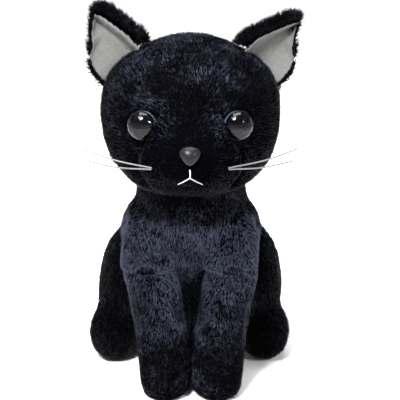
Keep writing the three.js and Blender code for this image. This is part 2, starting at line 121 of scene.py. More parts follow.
# ---- threads and whiskers: radii along them ----
MOUTH_RADII = [0.42 * MM, 0.38 * MM, 0.32 * MM]
MOUTH_ARM_RADII = [0.31 * MM, 0.29 * MM, 0.22 * MM]
MOUTH_LIFT = 1.5 * MM  # the stitches lie on the pile
MOUTH_TOP, MOUTH_FOOT, MOUTH_FORK = 0.5 * MM, 0.6 * MM, 0.4 * MM
ARM_DROP, ARM_SAG = 1.6 * MM, 0.1 * MM
WHISKER_RADII = [0.5 * MM, 0.5 * MM, 0.5 * MM, 0.42 * MM]
WHISKER_ROOT = 0.12  # how far a whisker goes on into the muzzle, as a share of its inner half
DRAWSTRING_RADIUS, DRAWSTRING_IN = 0.5 * MM, 3.4 * MM

# ---- camera ----
ELEVATION, DISTANCE, FOCAL = math.radians(17), 0.845, 120
TARGET = Vector((0.0057, -0.008, 0.119))


# ---------------------------------------------------------------- mesh helpers
def coords(mesh):
    flat = np.empty(len(mesh.vertices) * 3)
    mesh.vertices.foreach_get("co", flat)
    return flat.reshape(-1, 3)


def set_coords(mesh, points):
    mesh.vertices.foreach_set("co", np.ascontiguousarray(points).ravel())
    mesh.update()


def normals(mesh):
    flat = np.empty(len(mesh.vertices) * 3)
    mesh.vertices.foreach_get("normal", flat)
    return flat.reshape(-1, 3)


def unit(vectors):
    return vectors / np.maximum(np.linalg.norm(vectors, axis=-1, keepdims=True), 1e-12)


def fade(value, start, end):
    """0 before start, 1 after end, and smooth between them."""
    t = np.clip((value - start) / (end - start), 0.0, 1.0)
    return t * t * (3 - 2 * t)


def hill(distance, wide):
    """1 at no distance, and falling smoothly to almost 0 at twice the width."""
    return np.exp(-((distance / wide) ** 2))


def add_object(name, mesh):
    made = bpy.data.objects.new(name, mesh)
    bpy.context.scene.collection.objects.link(made)
    return made


def mesh_from(name, points, faces, smooth=True):
    mesh = bpy.data.meshes.new(name)
    mesh.from_pydata([tuple(p) for p in points], [], [tuple(f) for f in faces])
    mesh.validate()
    mesh.update()
    if smooth:
        mesh.shade_smooth()
    return add_object(name, mesh)


def applied(thing, kind, **settings):
    """Adds one modifier and applies it."""
    modifier = thing.modifiers.new("step", kind)
    for key, value in settings.items():
        setattr(modifier, key, value)
    graph = bpy.context.evaluated_depsgraph_get()
    made = bpy.data.meshes.new_from_object(thing.evaluated_get(graph))
    thing.modifiers.clear()
    old = thing.data
    thing.data = made
    bpy.data.meshes.remove(old)
    made.name = thing.name
    return thing


def edge_pairs(mesh):
    flat = np.empty(len(mesh.edges) * 2, dtype=np.int64)
    mesh.edges.foreach_get("vertices", flat)
    return flat.reshape(-1, 2)


def relax(thing, rounds):
    """Evens out the surface, and pushes back after each round so that the form doesn't shrink."""
    mesh = thing.data
    points, edges = coords(mesh), edge_pairs(mesh)
    both = np.concatenate([edges, edges[:, ::-1]])
    count = np.bincount(both[:, 0], minlength=len(points))[:, None]
    for _ in range(rounds):
        for push in (0.5, -0.52):
            total = np.stack(
                [np.bincount(both[:, 0], points[both[:, 1], k], len(points)) for k in range(3)], axis=1
            )
            points = points + push * (total / np.maximum(count, 1) - points)
    set_coords(mesh, points)


def swell(thing, amount):
    """Moves the surface out along its normals. amount is one number, or one for each vertex."""
    mesh = thing.data
    set_coords(mesh, coords(mesh) + normals(mesh) * np.reshape(amount, (-1, 1)))


NOISE_VALUES = 4096  # the noise picks from this many random values
NOISE_PRIMES = (73856093, 19349663, 83492791)  # large primes, which spread the cells of its lattice over them


def lattice_noise(points, size, seed, channels=3):
    """Smooth noise between -1 and 1: random values on a lattice, blended between its corners."""
    table = np.random.default_rng(seed).uniform(-1, 1, (NOISE_VALUES, channels))
    grid = points / size
    cell = np.floor(grid).astype(np.int64)
    part = grid - cell
    part = part * part * (3 - 2 * part)
    result = np.zeros((len(points), channels))
    for corner in range(8):
        step = np.array([corner & 1, corner >> 1 & 1, corner >> 2 & 1])
        slot = np.bitwise_xor.reduce((cell + step) * NOISE_PRIMES, axis=1) % NOISE_VALUES
        weight = np.prod(np.where(step == 1, part, 1 - part), axis=1)
        result += table[slot] * weight[:, None]
    return result


# ---------------------------------------------------------------- materials
def material(name, colour, roughness, **settings):
    """A Principled material. settings are its other sockets, with _ for a space."""
    made = bpy.data.materials.new(name)
    made.use_nodes = True
    shader = made.node_tree.nodes["Principled BSDF"]
    shader.inputs["Base Color"].default_value = (*colour, 1)
    shader.inputs["Roughness"].default_value = roughness
    for key, value in settings.items():
        shader.inputs[key.replace("_", " ")].default_value = value
    return made


def link(made, start, end):
    made.node_tree.links.new(start, end)


def add_node(made, kind, **settings):
    node = made.node_tree.nodes.new(kind)
    for key, value in settings.items():
        setattr(node, key, value)
    return node


def ramp(made, stops):
    """A colour ramp through (position, colour) stops."""
    node = add_node(made, "ShaderNodeValToRGB")
    while len(node.color_ramp.elements) < len(stops):
        node.color_ramp.elements.new(0.5)
    for element, (position, colour) in zip(node.color_ramp.elements, stops):
        element.position = position
        element.color = (*colour, 1)
    return node


def speckled(name, dark, light, roughness, scale, bump=0.3, **settings):
    """A material whose colour and height vary with a fine noise fixed to the object."""
    made = material(name, dark, roughness, **settings)
    shader = made.node_tree.nodes["Principled BSDF"]
    place = add_node(made, "ShaderNodeTexCoord")
    noise = add_node(made, "ShaderNodeTexNoise")
    noise.inputs["Scale"].default_value = scale
    noise.inputs["Detail"].default_value = 4
    link(made, place.outputs["Object"], noise.inputs["Vector"])
    shades = ramp(made, [(0.3, dark), (0.7, light)])
    link(made, noise.outputs["Fac"], shades.inputs["Fac"])
    link(made, shades.outputs["Color"], shader.inputs["Base Color"])
    height = add_node(made, "ShaderNodeBump")
    height.inputs["Strength"].default_value = bump
    height.inputs["Distance"].default_value = 0.4 * MM
    link(made, noise.outputs["Fac"], height.inputs["Height"])
    link(made, height.outputs["Normal"], shader.inputs["Normal"])
    return made


def pile_material(name, root, tip, spread, roughness, **settings):
    """Fibre: its root is darker than its tip, as painted shade deep in the pile, and each fibre has one of a few
    shades, which carry painted sheen and painted shade besides random differences.
    """
    made = material(name, tip, roughness, **settings)
    shader = made.node_tree.nodes["Principled BSDF"]
    place = add_node(made, "ShaderNodeUVMap", uv_map="OFBake")
    split = add_node(made, "ShaderNodeSeparateXYZ")
    link(made, place.outputs["UV"], split.inputs["Vector"])
    # dark at the root and light at the tip: painted shade deep in the pile
    along = ramp(made, [(0.0, root), (1.0, tip)])
    link(made, split.outputs["Y"], along.inputs["Fac"])
    curve = add_node(made, "ShaderNodeMath", operation="POWER")
    curve.inputs[1].default_value = 2.0
    link(made, split.outputs["X"], curve.inputs[0])
    shade = add_node(made, "ShaderNodeMapRange")
    shade.inputs["To Min"].default_value = 1 - spread
    shade.inputs["To Max"].default_value = 1 + 4 * spread
    link(made, curve.outputs["Value"], shade.inputs["Value"])
    mix = add_node(made, "ShaderNodeVectorMath", operation="SCALE")
    link(made, along.outputs["Color"], mix.inputs[0])
    link(made, shade.outputs["Result"], mix.inputs["Scale"])
    link(made, mix.outputs["Vector"], shader.inputs["Base Color"])
    return made


SHEEN = {"Sheen_Weight": 0.004, "Sheen_Roughness": 0.35, "Sheen_Tint": (0.55, 0.64, 1.0, 1)}
BACKING = speckled(
    "plush_backing", (0.0003, 0.0003, 0.0005), (0.0010, 0.0010, 0.0016), 0.9, 900, Specular_IOR_Level=0.0
)
# The plush fibre's dark root colour is painted shade deep in the pile.
PLUSH = pile_material(
    "plush_pile", (0.0008, 0.0009, 0.0015), (0.0225, 0.0249, 0.0374), 0.95, 0.36,
    Specular_IOR_Level=0.04, **SHEEN
)
FLEECE_BACKING = speckled("fleece_backing", (0.07, 0.07, 0.068), (0.11, 0.11, 0.107), 0.95, 1500)
# The fleece fibre's darker root colour is painted shade deep in the pile.
FLEECE = pile_material(
    "fleece_pile", (0.08, 0.08, 0.078), (0.14, 0.14, 0.136), 0.18, 0.8,
    Specular_IOR_Level=0.2, Sheen_Weight=0.2
)


# ---------------------------------------------------------------- stuffed forms
def cut_above(node, height):
    """A closed copy of the part of a node that is above a height."""
    cut = bmesh.new()
    cut.from_mesh(frame["nodes"][node].data)
    everything = cut.verts[:] + cut.edges[:] + cut.faces[:]
    made = bmesh.ops.bisect_plane(
        cut, geom=everything, plane_co=(0, 0, height), plane_no=(0, 0, 1), clear_inner=True
    )
    bmesh.ops.holes_fill(cut, edges=[e for e in made["geom_cut"] if isinstance(e, bmesh.types.BMEdge)])
    mesh = bpy.data.meshes.new(node + "_cut")
    cut.to_mesh(mesh)
    cut.free()
    return mesh


def form_from(name, nodes, voxel, rounds, also=()):
    """One smooth closed skin over some nodes of the frame, and over other meshes."""
    points, faces, start = [], [], 0
    for mesh in [frame["nodes"][node].data for node in nodes] + list(also):
        points.append(coords(mesh))
        faces += [[start + v for v in face.vertices] for face in mesh.polygons]
        start += len(mesh.vertices)
    skin = mesh_from(name, np.concatenate(points), faces)
    applied(skin, "REMESH", mode="VOXEL", voxel_size=voxel)
    relax(skin, rounds)
    return skin


def near_line(points, line):
    """How far each point is from a line through a few points."""
    best = np.full(len(points), np.inf)
    for start, end in zip(line[:-1], line[1:]):
        start, span = np.array(start), np.array(end) - np.array(start)
        t = np.clip((points - start) @ span / (span @ span), 0, 1)
        best = np.minimum(best, np.linalg.norm(points - start - t[:, None] * span, axis=1))
    return best


def puff(skin, seams, cap):
    """
    Lets the fabric fill out between its seams under the pressure of the stuffing. cap is the most that it
    moves: one number, or one for each vertex.
    """
    before = coords(skin.data)
    pins = skin.vertex_groups.new(name="seams")
    for index in np.flatnonzero(np.min([near_line(before, seam) for seam in seams], axis=0) < SEAM_HELD):
        pins.add([int(index)], 1.0, "REPLACE")
    cloth = skin.modifiers.new("cloth", "CLOTH")
    cloth.settings.use_pressure = True
    cloth.settings.uniform_pressure_force = PRESSURE
    cloth.settings.effector_weights.gravity = 0
    cloth.settings.vertex_group_mass = pins.name
    cloth.settings.quality = 4
    cloth.collision_settings.use_collision = False
    for step in range(1, CLOTH_STEPS + 1):
        bpy.context.scene.frame_set(step)
    graph = bpy.context.evaluated_depsgraph_get()
    after = coords(bpy.data.meshes.new_from_object(skin.evaluated_get(graph)))
    skin.modifiers.clear()
    skin.vertex_groups.clear()
    bpy.context.scene.frame_set(1)
    moved = after - before
    length = np.linalg.norm(moved, axis=1, keepdims=True)
    set_coords(skin.data, before + moved * np.minimum(1, np.reshape(cap, (-1, 1)) / np.maximum(length, 1e-9)))


def shifted(skin, low, high):
    """The cat sits a little to its right: this moves what is low that way, and fades it out further up."""
    points = coords(skin.data)
    points[:, 0] -= SEAT_SHIFT * (1 - fade(points[:, 2], low, high))
    set_coords(skin.data, points)


def groove(skin, line, deep, wide):
    """A sewn line: the fabric dips along it."""
    away = near_line(coords(skin.data), line)
    swell(skin, -deep * hill(away, wide))


def finer(skin):
    applied(skin, "SUBSURF", levels=1, render_levels=1)
    skin.data.shade_smooth()


def tree(thing):
    mesh = thing.data
    mesh.calc_loop_triangles()
    triangles = [tuple(t.vertices) for t in mesh.loop_triangles]
    return BVHTree.FromPolygons([v.co for v in mesh.vertices], triangles)


def on_front(surface, x, z, lift=0.0):
    """The point of a surface seen from the front at a place across and up it, or a little above it."""
    ahead = Vector((x, -0.5, z))
    spot, normal, _, _ = surface.ray_cast(ahead, Vector((0, 1, 0)))
    return spot + normal * lift


# ---------------------------------------------------------------- pile
def scatter(skin, per_mm2, seed):
    """Places spread evenly over a skin: points, normals, and the random numbers that go on from there."""
    mesh = skin.data
    mesh.calc_loop_triangles()
    corners = np.empty(len(mesh.loop_triangles) * 3, dtype=np.int64)
    mesh.loop_triangles.foreach_get("vertices", corners)
    corners = corners.reshape(-1, 3)
    points, outward = coords(mesh), normals(mesh)
    a, b, c = (points[corners[:, k]] for k in range(3))
    area = np.linalg.norm(np.cross(b - a, c - a), axis=1) / 2
    rng = np.random.default_rng(seed)
    count = int(area.sum() / MM**2 * per_mm2)
    pick = rng.choice(len(corners), count, p=area / area.sum())
    s, t = np.sqrt(rng.random(count)), rng.random(count)
    weights = np.stack([1 - s, s * (1 - t), s * t], axis=1)[:, :, None]
    chosen = corners[pick]
    return (points[chosen] * weights).sum(axis=1), unit((outward[chosen] * weights).sum(axis=1)), rng


def strands(name, roots, lean, length, width, shade, rng):
    """Fibres as fine three-sided spikes, all in one mesh. shade is from 0, dark, to 1, light."""
    count = len(roots)
    side = unit(np.cross(lean, rng.normal(size=(count, 3))))
    other = np.cross(lean, side)
    points = np.empty((count, 4, 3))
    for k in range(3):
        angle = 2 * math.pi * k / 3
        ring = math.cos(angle) * side + math.sin(angle) * other
        points[:, k] = roots + ring * width[:, None] / 2
    points[:, 3] = roots + lean * length[:, None]
    pattern = np.array([0, 1, 3, 1, 2, 3, 2, 0, 3, 0, 2, 1])  # three sides and the foot, where 3 is the tip
    loops = (np.arange(count)[:, None] * 4 + pattern).ravel()
    mesh = bpy.data.meshes.new(name)
    mesh.vertices.add(count * 4)
    mesh.vertices.foreach_set("co", points.ravel())
    mesh.loops.add(len(loops))
    mesh.loops.foreach_set("vertex_index", loops)
    mesh.polygons.add(count * 4)
    mesh.polygons.foreach_set("loop_start", np.arange(count * 4) * 3)
    mesh.polygons.foreach_set("use_smooth", np.ones(count * 4, dtype=bool))
    shade_class = (shade * PILE_CLASSES).astype(int).clip(0, PILE_CLASSES - 1)
    place = np.empty((count, 12, 2))
    place[:, :, 0] = (shade_class / PILE_CLASSES + CLASS_INSET)[:, None]
    place[:, :, 1] = np.where(pattern == 3, TIP_V, ROOT_V)
    mesh.uv_layers.new(name="OFBake").data.foreach_set("uv", place.ravel())
    mesh.update(calc_edges=True)
    return add_object(name, mesh)


SKYWARD = Vector((0.11, 0.07, 1)).normalized()  # a way out of a skin that runs along none of its edges


def depth_inside(skins, points, reach=9 * MM):
    """How deep each point lies inside any of some skins, and 0 outside."""
    deep = np.zeros(len(points))
    for skin in skins:
        low, high = coords(skin.data).min(axis=0), coords(skin.data).max(axis=0)
        surface = tree(skin)
        for index in np.flatnonzero(np.all((points > low) & (points < high), axis=1)):
            point = Vector(points[index])
            _, normal, _, _ = surface.ray_cast(point, SKYWARD)
            if normal is not None and normal.dot(SKYWARD) > 0:
                deep[index] = max(deep[index], min(surface.find_nearest(point)[3], reach))
    return deep


def pile(name, skin, per_mm2, length, comb, *, width=0.42, lay=0.7, rough=0.14, keep=None, look=PLUSH, seed=1,
         patches=0.42, under=(), painted_light=None):
    """
    Grows pile on a skin. comb gives the way that it is brushed, and patches how much that wanders. lay is how
    flat it lies (0 stands up, 1 is flat) and rough how untidily. keep is the length of each fibre as a share
    of the full length, where 0 leaves it out. No pile grows deep under the skins in under. width is in mm.
    tone is how light each fibre is, from 0 to 1: painted sheen and painted shade for how the light falls on the
    brushed pile.
    """
    roots, outward, rng = scatter(skin, per_mm2, seed)
    share = np.ones(len(roots)) if keep is None else keep(roots, outward)
    share = np.where(depth_inside(under, roots) > BURIED, 0, share)
    kept = share > 0.05
    roots, outward, share = roots[kept], outward[kept], share[kept]
    brushed = comb(roots) + patches * lattice_noise(roots, BRUSH_PATCH, seed + 1)
    brushed += 0.5 * patches * lattice_noise(roots, SMALL_BRUSH_PATCH, seed + 2)
    along = unit(brushed - outward * (brushed * outward).sum(axis=1, keepdims=True))
    tilt = np.clip(lay + TILT_SPREAD * lattice_noise(roots, TILT_PATCH, seed + 3, 1), STEEPEST, FLATTEST)
    clump = 0.8 * lattice_noise(roots, CLUMP, seed + 4) + 0.5 * rng.normal(size=roots.shape)
    lean = unit(outward * (1 - tilt) + along * tilt + rough * clump)
    rise = (lean * outward).sum(axis=1, keepdims=True)
    lean = unit(lean + outward * np.maximum(LEAST_RISE - rise, 0))
    size = share * length * rng.uniform(*FIBRE_LENGTHS, len(roots))
    thick = width * MM * rng.uniform(*FIBRE_WIDTHS, len(roots)) * np.sqrt(share)
    # The lightness given for each place is painted sheen and painted shade; the random parts added to it are the
    # fibres' own varied colour.
    shade = (0.5 if painted_light is None else painted_light(roots)) + FIBRE_SHADES * rng.uniform(-1, 1, len(roots))
    for grain, strength in SHADE_PATCHES:
        shade = shade + strength * lattice_noise(roots, grain, 5 + int(grain / MM), 1)[:, 0]
    shade = np.clip(shade, 0, 0.999)
    grown = strands(name, roots - outward * ROOT_DEPTH, lean, size, thick, shade, rng)
    grown.data.materials.append(look)
    return grown


def towards(vector):
    return lambda points: np.broadcast_to(unit(np.array(vector, dtype=float)), points.shape).copy()


def away_from(spot):
    return lambda points: unit(points - np.array(spot))


def even(value):
    """The same painted shade all over."""
    return lambda points: np.full(len(points), value)


# ---------------------------------------------------------------- parts of the frame
def nodes_of(body, *words):
    """The nodes of a body whose names hold any of the words."""
    return [n for n in frame["record"]["behaviour"]["bodies"][body] if any(w in n for w in words)]


def middle(node):
    return coords(frame["nodes"][node].data).mean(axis=0)


def box_of(nodes):
    boxes = [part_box(n) for n in nodes]
    return np.min([b[0] for b in boxes], axis=0), np.max([b[1] for b in boxes], axis=0)


def finished_skin(skin, look, body, nodes):
    skin.data.materials.clear()
    skin.data.materials.append(look)
    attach(skin, body)
    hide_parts(*nodes)


SKIN_WORDS = ("_panel", "stuffing")
joints = {joint["name"]: joint for joint in frame["joints"]}

# ---------------------------------------------------------------- head
head_nodes = nodes_of("head", *SKIN_WORDS)
head_low, head_high = box_of(head_nodes)
head_middle = (head_low + head_high) / 2
crown_z, chin_z = head_high[2], head_low[2]
nose_at = middle("nose")
eye_at = {side: middle(f"eye_{side}_lens") for side in SIDES}


def eye_seat(side):
    """The place of an eye: its +Z looks out of the face, and a little more forward than the face does."""
    at, behind = middle(f"eye_{side}_lens"), middle(f"eye_{side}_washer")
    out = (Vector(at - behind).normalized() + Vector((0, -EYE_FORWARD, 0))).normalized()
    turn = out.to_track_quat("Z", "Y").to_matrix().to_4x4()
    return Matrix.Translation(Vector(at) - out * EYE_DEPTH) @ turn


eye_seats = {side: eye_seat(side) for side in SIDES}


def over_eyes(points):
    """1 where a point is clear of the eyes, and 0 inside them."""
    clear = np.ones(len(points))
    for seat in eye_seats.values():
        back = np.array(seat.inverted())
        local = points @ back[:3, :3].T + back[:3, 3]
        radial = np.linalg.norm(local[:, :2], axis=1) / EYE_RADIUS
        height = np.clip(local[:, 2], 0, None) / EYE_BULGE
        clear *= fade(np.hypot(radial, height), 0.98, 1.12)
    return clear


head = form_from("head_skin", head_nodes + nodes_of("head", "washer", "iris"), HEAD_VOXEL, HEAD_ROUNDS)
swell(head, -UNDER_PILE)
head_before = tree(head)


def on_face(line, sign):
    """A seam line laid onto the front of the face."""
    stops = np.linspace(0, len(line) - 1, SEAM_STOPS)
    across = np.interp(stops, range(len(line)), [p[0] for p in line]) * sign * MM
    up = np.interp(stops, range(len(line)), [p[1] for p in line]) * MM + nose_at[2]
    return [on_front(head_before, x, z) for x, z in zip(across, up)]


forehead_seams = [on_face(FOREHEAD_SEAM, sign) for sign in SIDES.values()]
muzzle_seams = [on_face(MUZZLE_SEAM, sign) for sign in SIDES.values()]
face_seams = forehead_seams + muzzle_seams


def fuller_face(skin):
    """Rounds out the muzzle, and the fabric between the eyes and the nose."""
    points = coords(skin.data)
    full = hill(np.linalg.norm(points - nose_at, axis=1), MUZZLE_REACH)
    for side, sign in SIDES.items():
        inner_corner = eye_at[side] + np.array([-sign * CORNER_IN, 0, CORNER_UP])
        full += hill(np.linalg.norm(points - inner_corner, axis=1), CORNER_REACH)
    swell(skin, FACE_FULL * full)


def rounder_head(skin):
    """Rounds the crown off at its sides, and lets the chin hang."""
    points = coords(skin.data)
    rounder = np.minimum((points[:, 0] / CROWN_HALF) ** 2, ROUND_LIMIT)
    on_crown = fade(points[:, 2], nose_at[2] + CROWN_FROM, crown_z)
    points[:, 2] -= (CROWN_DROP + CROWN_ROUND * rounder) * on_crown
    points[:, 2] -= CHIN_DROP * (1 - fade(points[:, 2], chin_z, nose_at[2] - CHIN_FROM))
    set_coords(skin.data, points)


puff(head, face_seams, HEAD_PUFF)
fuller_face(head)
rounder_head(head)
finer(head)
for forehead_seam, muzzle_seam in zip(forehead_seams, muzzle_seams):
    groove(head, forehead_seam, FOREHEAD_DEEP, SEAM_WIDE)
    groove(head, muzzle_seam, MUZZLE_DEEP, SEAM_WIDE)
head_tree = tree(head)

# ---------------------------------------------------------------- torso
torso_nodes = nodes_of("torso", "chest", "back", "seat", "torso_stuffing")
shoulder_nodes = [n for side in SIDES for n in nodes_of(f"foreleg_{side}", *SKIN_WORDS)]
shoulders = [cut_above(n, ELBOW) for n in shoulder_nodes]
torso = form_from("torso_skin", torso_nodes, TORSO_VOXEL, TORSO_ROUNDS, shoulders)
swell(torso, -UNDER_PILE)
side_seam = [(30 * MM, 0.0, 30 * MM), (40 * MM, 10 * MM, 70 * MM), (30 * MM, 0.0, 120 * MM)]
back_seam = [(0, 0.0, 136 * MM), (0, 30 * MM, 110 * MM), (0, 70 * MM, 60 * MM), (0, 85 * MM, 20 * MM)]
torso_seams = [[(sign * x, y, z) for x, y, z in side_seam] for sign in SIDES.values()] + [back_seam]
points = coords(torso.data)
clear_of_elbow = np.maximum(fade(points[:, 2], ELBOW, ELBOW + 14 * MM), fade(points[:, 1], 0, 20 * MM))
puff(torso, torso_seams, TORSO_PUFF * clear_of_elbow)
shifted(torso, 60 * MM, 110 * MM)
finer(torso)


# ---------------------------------------------------------------- legs and tail
def foreleg_form(side, sign):
    """A foreleg, thinner where it goes in under the shoulder and wider at the inside of its paw."""
    nodes = nodes_of(f"foreleg_{side}", *SKIN_WORDS)
    skin = form_from(f"foreleg_{side}_skin", nodes, FORELEG_VOXEL, LEG_ROUNDS)
    under_shoulder = fade(coords(skin.data)[:, 2], ELBOW - 6 * MM, ELBOW + 12 * MM)
    swell(skin, -UNDER_PILE - SHOULDER_SLACK * under_shoulder)
    points = coords(skin.data)
    paw = 1 - fade(points[:, 2], 22 * MM, 52 * MM)
    inward = np.clip(-sign * normals(skin.data)[:, 0], 0, 1)
    points[:, 0] -= sign * PAW_WIDER * paw * inward
    set_coords(skin.data, points)
    finer(skin)
    return skin


def hind_leg_form(side):
    skin = form_from(f"hind_leg_{side}_skin", nodes_of("torso", f"hind_leg_{side}"), HIND_VOXEL, LEG_ROUNDS)
    swell(skin, HIND_FULLER)
    shifted(skin, 0.0, 100 * MM)
    finer(skin)
    return skin


legs = {side: (foreleg_form(side, sign), hind_leg_form(side)) for side, sign in SIDES.items()}
tail = form_from("tail_skin", nodes_of("tail", *SKIN_WORDS), TAIL_VOXEL, TAIL_ROUNDS)
swell(tail, -UNDER_PILE)
finer(tail)

finished_skin(head, BACKING, "head", head_nodes)
finished_skin(torso, BACKING, "torso", torso_nodes)
for side, (foreleg, hind) in legs.items():
    foreleg_nodes = nodes_of(f"foreleg_{side}", *SKIN_WORDS)
    finished_skin(foreleg, BACKING, f"foreleg_{side}", foreleg_nodes)
    finished_skin(hind, BACKING, "torso", nodes_of("torso", f"hind_leg_{side}"))
finished_skin(tail, BACKING, "tail", nodes_of("tail", *SKIN_WORDS))


# ---------------------------------------------------------------- pile of each part
def face_length(points, outward):
    """Shorter pile on the muzzle, longer under the chin, and none under the eyes, the nose and the neck."""
    share = np.ones(len(points))
    front = points[:, 1] < head_middle[1]
    from_nose = np.linalg.norm(points - nose_at, axis=1)
    share *= 1 - 0.45 * hill(from_nose, 30 * MM)
    share *= over_eyes(points)
    share *= fade(from_nose, 4.5 * MM, 7.5 * MM)
    chin = hill(points[:, 0], 14 * MM) * hill(points[:, 2] - chin_z - 6 * MM, 7 * MM)
    share *= 1 + 0.5 * chin * front
    lowest = points[:, 2] < chin_z + 2 * MM
    over_neck = np.linalg.norm(points[:, :2] - head_middle[:2], axis=1) < 20 * MM
    return np.where(lowest & over_neck, 0, share)


def brushed_leg(points):
    """Down the leg, and back up over the paw."""
    low = 1 - fade(points[:, 2], 18 * MM, 46 * MM)
    return np.stack([0 * low, -0.1 + 0.5 * low, 1.6 * low - 1], axis=1)


def leg_painted_light(points):
    """Painted shade and sheen: dark at the paw, and lighter up to the elbow, where it meets the painted sheen of
    the shoulder.
    """
    height = points[:, 2]
    return 0.13 + 0.50 * fade(height, 20 * MM, 60 * MM) + 0.30 * fade(height, 58 * MM, 80 * MM)


def torso_painted_sheen(points):
    """Painted sheen: lightest on the chest and shoulders, where the light from above falls."""
    front = 1 - fade(points[:, 1], -30 * MM, 10 * MM)
    height = points[:, 2]
    return 0.28 + 0.80 * front * fade(height, 60 * MM, 85 * MM) * (1 - fade(height, 108 * MM, 122 * MM))


def head_painted_light(points):
    """Painted light: a painted sheen on the crown, between the eyes and along the sewn folds, and dark painted
    shade on the rest.
    """
    crown_sheen = fade(points[:, 2], nose_at[2] + 20 * MM, nose_at[2] + 45 * MM)
    across, up = np.abs(points[:, 0]) - 16 * MM, points[:, 2] - nose_at[2] - 17 * MM
    bridge_sheen = hill(across, 8 * MM) * hill(up, 13 * MM) * (points[:, 1] < head_middle[1])
    fold_sheen = hill(np.min([near_line(points, seam) for seam in face_seams], axis=0), 3.5 * MM)
    return 0.07 + 0.24 * crown_sheen + 0.46 * bridge_sheen + 0.38 * fold_sheen


forelegs = [pair[0] for pair in legs.values()]
hind_legs = [pair[1] for pair in legs.values()]
down_body, along_tail = towards((0, 0.1, -1)), towards((1, 0.2, -0.2))
over_torso = [head, *hind_legs, *forelegs]
grown = [
    (pile("head_pile", head, 1.35, HEAD_PILE, away_from(nose_at + np.array([0, 10 * MM, 0])),
          keep=face_length, seed=11, under=[torso], painted_light=head_painted_light), "head"),
    (pile("torso_front_pile", torso, 1.9, BODY_PILE, down_body, keep=lambda p, n: p[:, 1] < 0,
          seed=21, under=over_torso, painted_light=torso_painted_sheen), "torso"),
    (pile("torso_back_pile", torso, 1.5, TORSO_BACK_PILE, down_body, keep=lambda p, n: p[:, 1] >= 0,
          seed=26, under=over_torso, painted_light=torso_painted_sheen), "torso"),
    (pile("tail_pile", tail, 1.6, BACK_PILE, along_tail, seed=31, under=[torso], painted_light=leg_painted_light), "tail"),
]
for number, (side, (foreleg, hind)) in enumerate(legs.items()):
    grown.append((pile(f"foreleg_{side}_pile", foreleg, 1.9, FORELEG_PILE, brushed_leg,
                       seed=41 + 10 * number, under=[torso], painted_light=leg_painted_light), f"foreleg_{side}"))
    # The hind legs get one dark tone all over: painted shade.
    grown.append((pile(f"hind_leg_{side}_pile", hind, 1.6, BACK_PILE, down_body,
                       seed=61 + 10 * number, under=[torso], painted_light=even(0.15)), "torso"))
for made, body in grown:
    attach(made, body)


# ---------------------------------------------------------------- ears
def tucked(leaf, surface):
    """Pushes the foot of an ear into the head, and its lowest edge wholly inside it."""
    points = coords(leaf.data)
    foot = 1 - fade(points[:, 2], points[:, 2].min(), points[:, 2].min() + FOOT_RISE)
    for index, point in enumerate(points):
        _, normal, _, away = surface.find_nearest(Vector(point))
        share = 1 - min(max((away - 1 * MM) / TUCK_REACH, 0), 1)
        points[index] -= np.array(normal) * max(EAR_TUCK * share, (away + FOOT_UNDER) * foot[index])
    set_coords(leaf.data, points)


def outwards(joint):
    """The way across an ear from its inner edge to its outer edge, along its fold."""
    return np.array(joint["axis"]) * -np.sign(joint["axis"][2])


def across_ear(points, joint):
    """Where points are across an ear: how far from its inner edge and from its outer edge."""
    base = points @ outwards(joint)
    upward = np.cross(joint["axis"], (0, 1, 0))
    up = points @ upward * np.sign(upward[2])
    height = (up - up.min()) / (up.max() - up.min()) * EAR_ROWS
    rows = np.clip(height.astype(int), 0, EAR_ROWS - 1)
    inner = np.array([base[rows == r].min() if np.any(rows == r) else np.nan for r in range(EAR_ROWS)])
    outer = np.array([base[rows == r].max() if np.any(rows == r) else np.nan for r in range(EAR_ROWS)])
    known = np.flatnonzero(~np.isnan(inner))
    from_inner = base - np.interp(height - 0.5, known, inner[known])
    from_outer = np.interp(height - 0.5, known, outer[known]) - base
    return from_inner, from_outer


def shaped_ear(leaf, part, joint):
    """Widens and cups an ear, rolls its inner edge forward, and keeps the lining clear of the roll."""
    points = coords(leaf.data)
    inner, outer = across_ear(points, joint)
    total = np.maximum(inner + outer, 1e-6)
    height = fade(points[:, 2], joint["pos_m"][2] - EAR_FOOT, points[:, 2].max())
    wider = (1 - inner / np.maximum(total, EAR_NARROW)) * (1 - height**2)
    points -= outwards(joint) * (EAR_WIDER * wider)[:, None]
    points[:, 1] += 4 * EAR_CUP * inner * outer / total**2
    if joint["name"].startswith("ear_left"):
        points += fade(points[:, 2], TIP_FROM, TIP_TO)[:, None] * np.array(LEFT_TIP)
    if part == "outer":
        roll = hill(inner, ROLL_REACH)
        points[:, 1] -= ROLL_FORWARD * roll
        set_coords(leaf.data, points)
        swell(leaf, ROLL_THICK * roll)
    else:
        share = inner / total
        points += outwards(joint) * (LINING_IN * (1 - share) + LINING_OUT * share)[:, None]
        fold = hill(inner - 2.5 * MM, 2.2 * MM) - 0.8 * hill(inner - 7 * MM, 3 * MM)
        points[:, 1] -= LINING_FOLD * fold
        set_coords(leaf.data, points)


def ear_edge(leaf, points):
    """How far each point is from the edge of an ear, judged by the thin rim of its own leaf."""
    shell = coords(leaf.data)
    rim = shell[np.abs(normals(leaf.data)[:, 1]) < 0.45]
    search = BVHTree.FromPolygons([Vector(p) for p in rim], [(i, i, i) for i in range(len(rim))])
    return np.array([search.find_nearest(Vector(p))[3] for p in points])


def ear_leaf(side, part, backing):
    node = f"ear_{side}_{part}"
    leaf = form_from(f"{node}_skin", [node], EAR_VOXEL, EAR_ROUNDS)
    shaped_ear(leaf, part, joints[f"ear_{side}_fold"])
    tucked(leaf, head_tree)
    leaf.data.materials.clear()
    leaf.data.materials.append(backing)
    leaf.data.shade_smooth()
    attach(leaf, f"ear_{side}")
    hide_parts(node)
    return leaf


